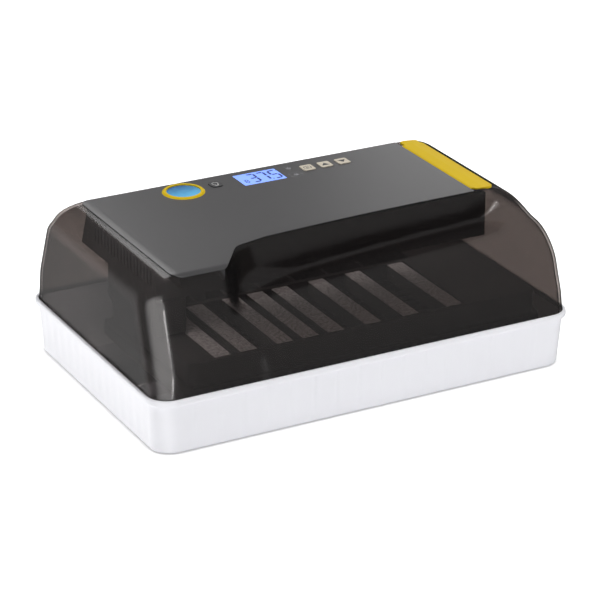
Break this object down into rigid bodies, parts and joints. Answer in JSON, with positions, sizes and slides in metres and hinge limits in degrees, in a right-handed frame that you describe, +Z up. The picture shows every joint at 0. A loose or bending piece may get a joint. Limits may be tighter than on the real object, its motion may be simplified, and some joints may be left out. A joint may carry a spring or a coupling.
{
  "type": "egg incubator",
  "caption": "Desktop egg incubator: white tray, lift-off smoked cover with a fan, heater and keys in its top, and a sliding egg turner with dividers.",
  "frame": {"origin": "centre of the underside, on the floor", "axes": "+X along the length to the refill flap's end, +Y from the low window to the back, +Z up"},
  "size_m": [0.366, 0.239, 0.132],
  "materials": {
    "white_plastic": "glossy",
    "foot_rubber": "matt",
    "black_plastic": "satin",
    "turner_plastic": "satin",
    "divider_plastic": "textured matt",
    "smoked_plastic": "clear glossy smoke tint",
    "panel_film": "satin print film",
    "yellow_plastic": "satin",
    "steel": "bright",
    "brass_plate": "bright",
    "gear_nylon": "satin",
    "heater_ceramic": "matt",
    "heater_wire": "heat stained",
    "circuit_board": "satin",
    "display_grey": "satin",
    "display_blue": "lit",
    "key_cream": "soft",
    "key_grey": "soft",
    "light_grey": "clear",
    "lens_blue": "clear glossy",
    "led_yellow": "clear"
  },
  "bodies": {
    "base": {"base_tray": "white_plastic", "foot_pads": "foot_rubber", "egg_floor": "turner_plastic"},
    "cover": {"cover_shell": "smoked_plastic", "panel_skin": "panel_film", "flap_pin": "steel", "refill_spout": "black_plastic", "control_box": "black_plastic", "box_screws": "steel", "turner_housing": "black_plastic", "turner_motor": "steel", "motor_screws": "brass_plate", "fan_frame": "black_plastic", "fan_guard": "black_plastic", "fan_screws": "steel", "heater_coil": "heater_wire", "heater_mount": "heater_ceramic", "control_board": "circuit_board", "board_screws": "steel", "power_supply": "circuit_board", "display_module": "display_grey", "display_window": "display_blue", "key_switches": "black_plastic", "status_lights": "light_grey", "candler_ring": "yellow_plastic", "candler_lens": "lens_blue", "candler_led": "led_yellow", "temp_probe": "black_plastic", "power_inlet": "black_plastic"},
    "turner": {"turner_frame": "turner_plastic", "turner_rack": "turner_plastic", "back_ribs": "turner_plastic"},
    "pinion": {"drive_shaft": "steel", "drive_pinion": "gear_nylon"},
    "fan": {"fan_rotor": "black_plastic"},
    "flap": {"refill_flap": "yellow_plastic"},
    "set_button": {"set_key": "key_cream"},
    "up_button": {"up_key": "key_cream"},
    "down_button": {"down_key": "key_cream"},
    "lamp_button": {"lamp_key": "key_grey"},
    "divider_1_body": {"divider_1": "divider_plastic"},
    "divider_2_body": {"divider_2": "divider_plastic"},
    "divider_3_body": {"divider_3": "divider_plastic"},
    "divider_4_body": {"divider_4": "divider_plastic"},
    "divider_5_body": {"divider_5": "divider_plastic"},
    "divider_6_body": {"divider_6": "divider_plastic"},
    "divider_7_body": {"divider_7": "divider_plastic"},
    "divider_8_body": {"divider_8": "divider_plastic"}
  },
  "joints": [
    {"name": "cover_lift", "type": "slide", "parent": "base", "child": "cover", "axis": [0, 0, 1], "range_m": [0, 0.15]},
    {"name": "turner_slide", "type": "slide", "parent": "base", "child": "turner", "axis": [1, 0, 0], "range_m": [-0.028, 0]},
    {"name": "pinion_spin", "type": "hinge", "parent": "cover", "child": "pinion", "pos_m": [-0.128, 0.02, 0.053], "axis": [0, 0, 1], "range_deg": [-201, 0]},
    {"name": "fan_spin", "type": "hinge", "parent": "cover", "child": "fan", "pos_m": [0, 0.02, 0.106], "axis": [0, 0, 1], "continuous": true},
    {"name": "flap_hinge", "type": "hinge", "parent": "cover", "child": "flap", "pos_m": [0.1356, 0.0175, 0.1295], "axis": [0, -1, 0], "range_deg": [0, 86]},
    {"name": "set_press", "type": "slide", "parent": "cover", "child": "set_button", "axis": [0, 0, -1], "range_m": [0, 0.0008], "stiffness_N_per_m": 400, "springref_m": -0.0005},
    {"name": "up_press", "type": "slide", "parent": "cover", "child": "up_button", "axis": [0, 0, -1], "range_m": [0, 0.0008], "stiffness_N_per_m": 400, "springref_m": -0.0005},
    {"name": "down_press", "type": "slide", "parent": "cover", "child": "down_button", "axis": [0, 0, -1], "range_m": [0, 0.0008], "stiffness_N_per_m": 400, "springref_m": -0.0005},
    {"name": "lamp_press", "type": "slide", "parent": "cover", "child": "lamp_button", "axis": [0, 0, -1], "range_m": [0, 0.0008], "stiffness_N_per_m": 400, "springref_m": -0.0005},
    {"name": "divider_1_slide", "type": "slide", "parent": "turner", "child": "divider_1_body", "axis": [1, 0, 0], "range_m": [-0.0004, 0.004]},
    {"name": "divider_2_slide", "type": "slide", "parent": "turner", "child": "divider_2_body", "axis": [1, 0, 0], "range_m": [-0.004, 0.0084]},
    {"name": "divider_3_slide", "type": "slide", "parent": "turner", "child": "divider_3_body", "axis": [1, 0, 0], "range_m": [-0.0084, 0.004]},
    {"name": "divider_4_slide", "type": "slide", "parent": "turner", "child": "divider_4_body", "axis": [1, 0, 0], "range_m": [-0.004, 0.004]},
    {"name": "divider_5_slide", "type": "slide", "parent": "turner", "child": "divider_5_body", "axis": [1, 0, 0], "range_m": [-0.004, 0.0092]},
    {"name": "divider_6_slide", "type": "slide", "parent": "turner", "child": "divider_6_body", "axis": [1, 0, 0], "range_m": [-0.0092, 0.0097]},
    {"name": "divider_7_slide", "type": "slide", "parent": "turner", "child": "divider_7_body", "axis": [1, 0, 0], "range_m": [-0.0097, 0.0124]},
    {"name": "divider_8_slide", "type": "slide", "parent": "turner", "child": "divider_8_body", "axis": [1, 0, 0], "range_m": [-0.0124, 0.0014]}
  ],
  "couplings": [
    {"joint": "pinion_spin", "follows": "turner_slide", "rad_per_m": 125}
  ]
}
